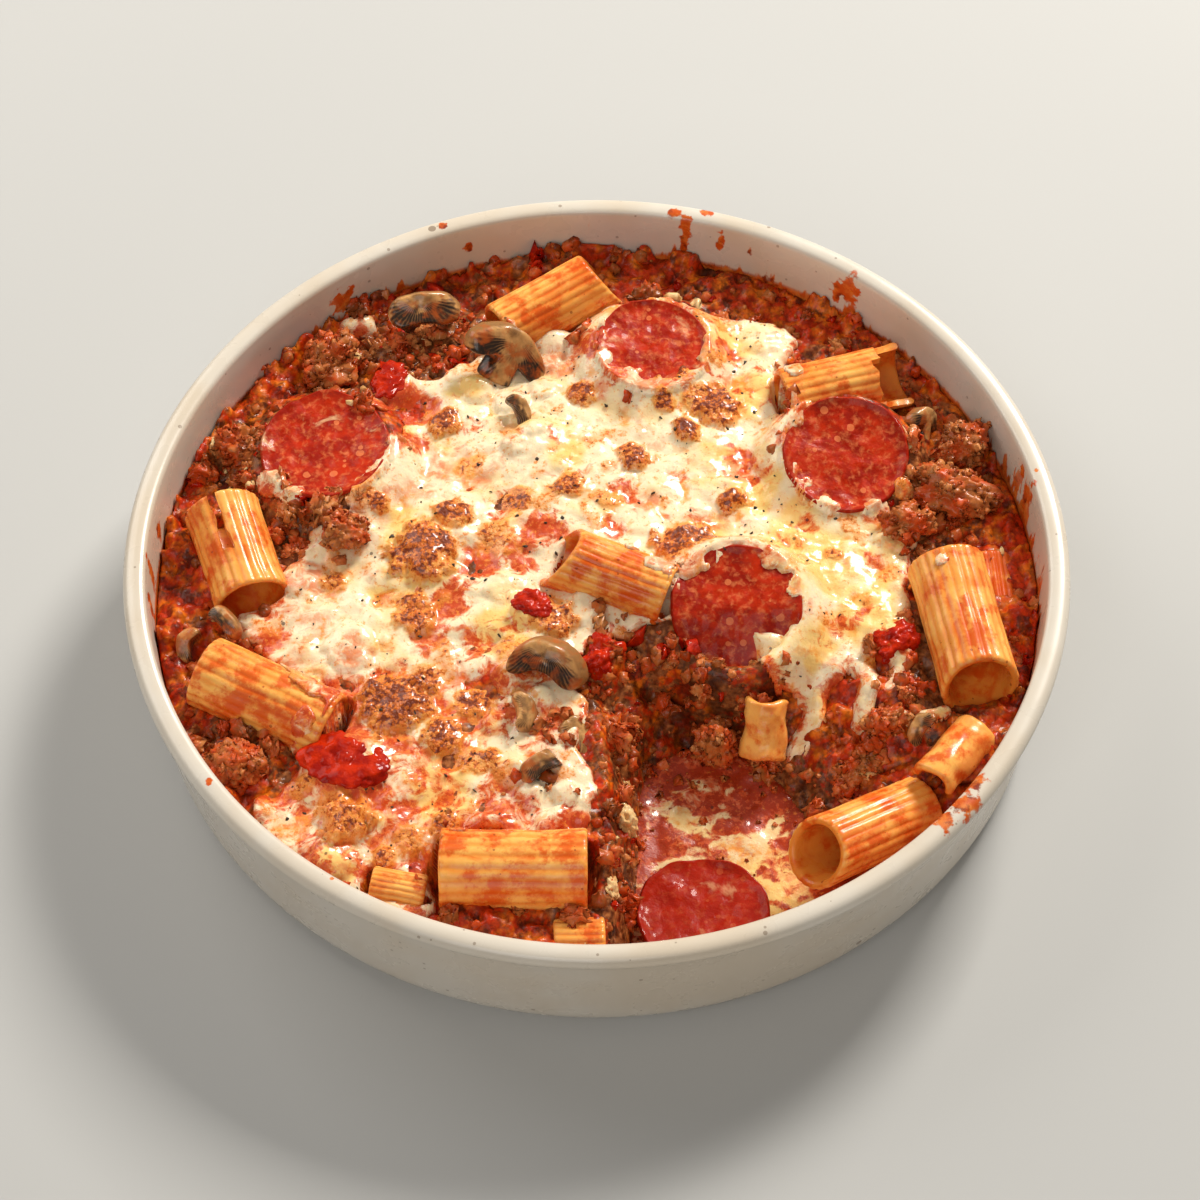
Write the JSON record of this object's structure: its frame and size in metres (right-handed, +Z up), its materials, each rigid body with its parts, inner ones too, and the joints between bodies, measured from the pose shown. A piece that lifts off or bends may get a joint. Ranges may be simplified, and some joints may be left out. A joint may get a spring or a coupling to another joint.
{
  "type": "baked pasta in a round dish",
  "caption": "Round baking dish of pasta tubes baked in meat sauce under melted cheese, with cured sausage slices, mushroom and tomato pieces, and a scooped-out hollow.",
  "frame": {"origin": "centre of the dish's base, on the surface it stands on", "axes": "+Z up out of the dish; the scooped hollow opens towards -Y, so -Y is the front; +X to the right seen from the front"},
  "size_m": [0.22, 0.22, 0.0384],
  "materials": {
    "stoneware_glaze": "cream satin glaze over stoneware with fine dark specks, bare sauce splashes on the inside",
    "meat_sauce": "moist minced meat in tomato sauce, oily sheen",
    "baked_cheese": "melted white cheese, glossy, browned blisters",
    "cooked_pasta": "cooked wheat pasta, moist sheen, stained with sauce",
    "cured_slice": "red cured sausage, oily gloss, pale fat flecks",
    "mushroom": "cooked mushroom flesh with dark gills",
    "tomato": "wet cooked tomato",
    "onion": "soft cooked onion, translucent",
    "minced_meat": "crumbly browned minced meat"
  },
  "bodies": {
    "root": {"cheese": "baked_cheese", "dish": "stoneware_glaze", "filling": "meat_sauce", "mince_01": "minced_meat", "mince_02": "minced_meat", "mince_03": "minced_meat", "mince_04": "minced_meat", "mince_05": "minced_meat", "mince_06": "minced_meat", "mince_07": "minced_meat", "mince_08": "minced_meat", "mince_09": "minced_meat", "mince_10": "minced_meat", "mince_11": "minced_meat", "mushroom_01": "mushroom", "mushroom_02": "mushroom", "mushroom_03": "mushroom", "mushroom_04": "mushroom", "mushroom_05": "mushroom", "mushroom_06": "mushroom", "mushroom_07": "mushroom", "mushroom_08": "mushroom", "mushroom_09": "mushroom", "mushroom_10": "mushroom", "mushroom_11": "mushroom", "onion_01": "onion", "onion_02": "onion", "rigatoni_01": "cooked_pasta", "rigatoni_02": "cooked_pasta", "rigatoni_03": "cooked_pasta", "rigatoni_04": "cooked_pasta", "rigatoni_05": "cooked_pasta", "rigatoni_06": "cooked_pasta", "rigatoni_07": "cooked_pasta", "rigatoni_08": "cooked_pasta", "rigatoni_09": "cooked_pasta", "rigatoni_10": "cooked_pasta", "rigatoni_11": "cooked_pasta", "rigatoni_12": "cooked_pasta", "rigatoni_13": "cooked_pasta", "rigatoni_14": "cooked_pasta", "salami_01": "cured_slice", "salami_02": "cured_slice", "salami_03": "cured_slice", "salami_04": "cured_slice", "salami_05": "cured_slice", "tomato_01": "tomato", "tomato_02": "tomato", "tomato_03": "tomato", "tomato_04": "tomato", "tomato_05": "tomato"}
  },
  "joints": []
}
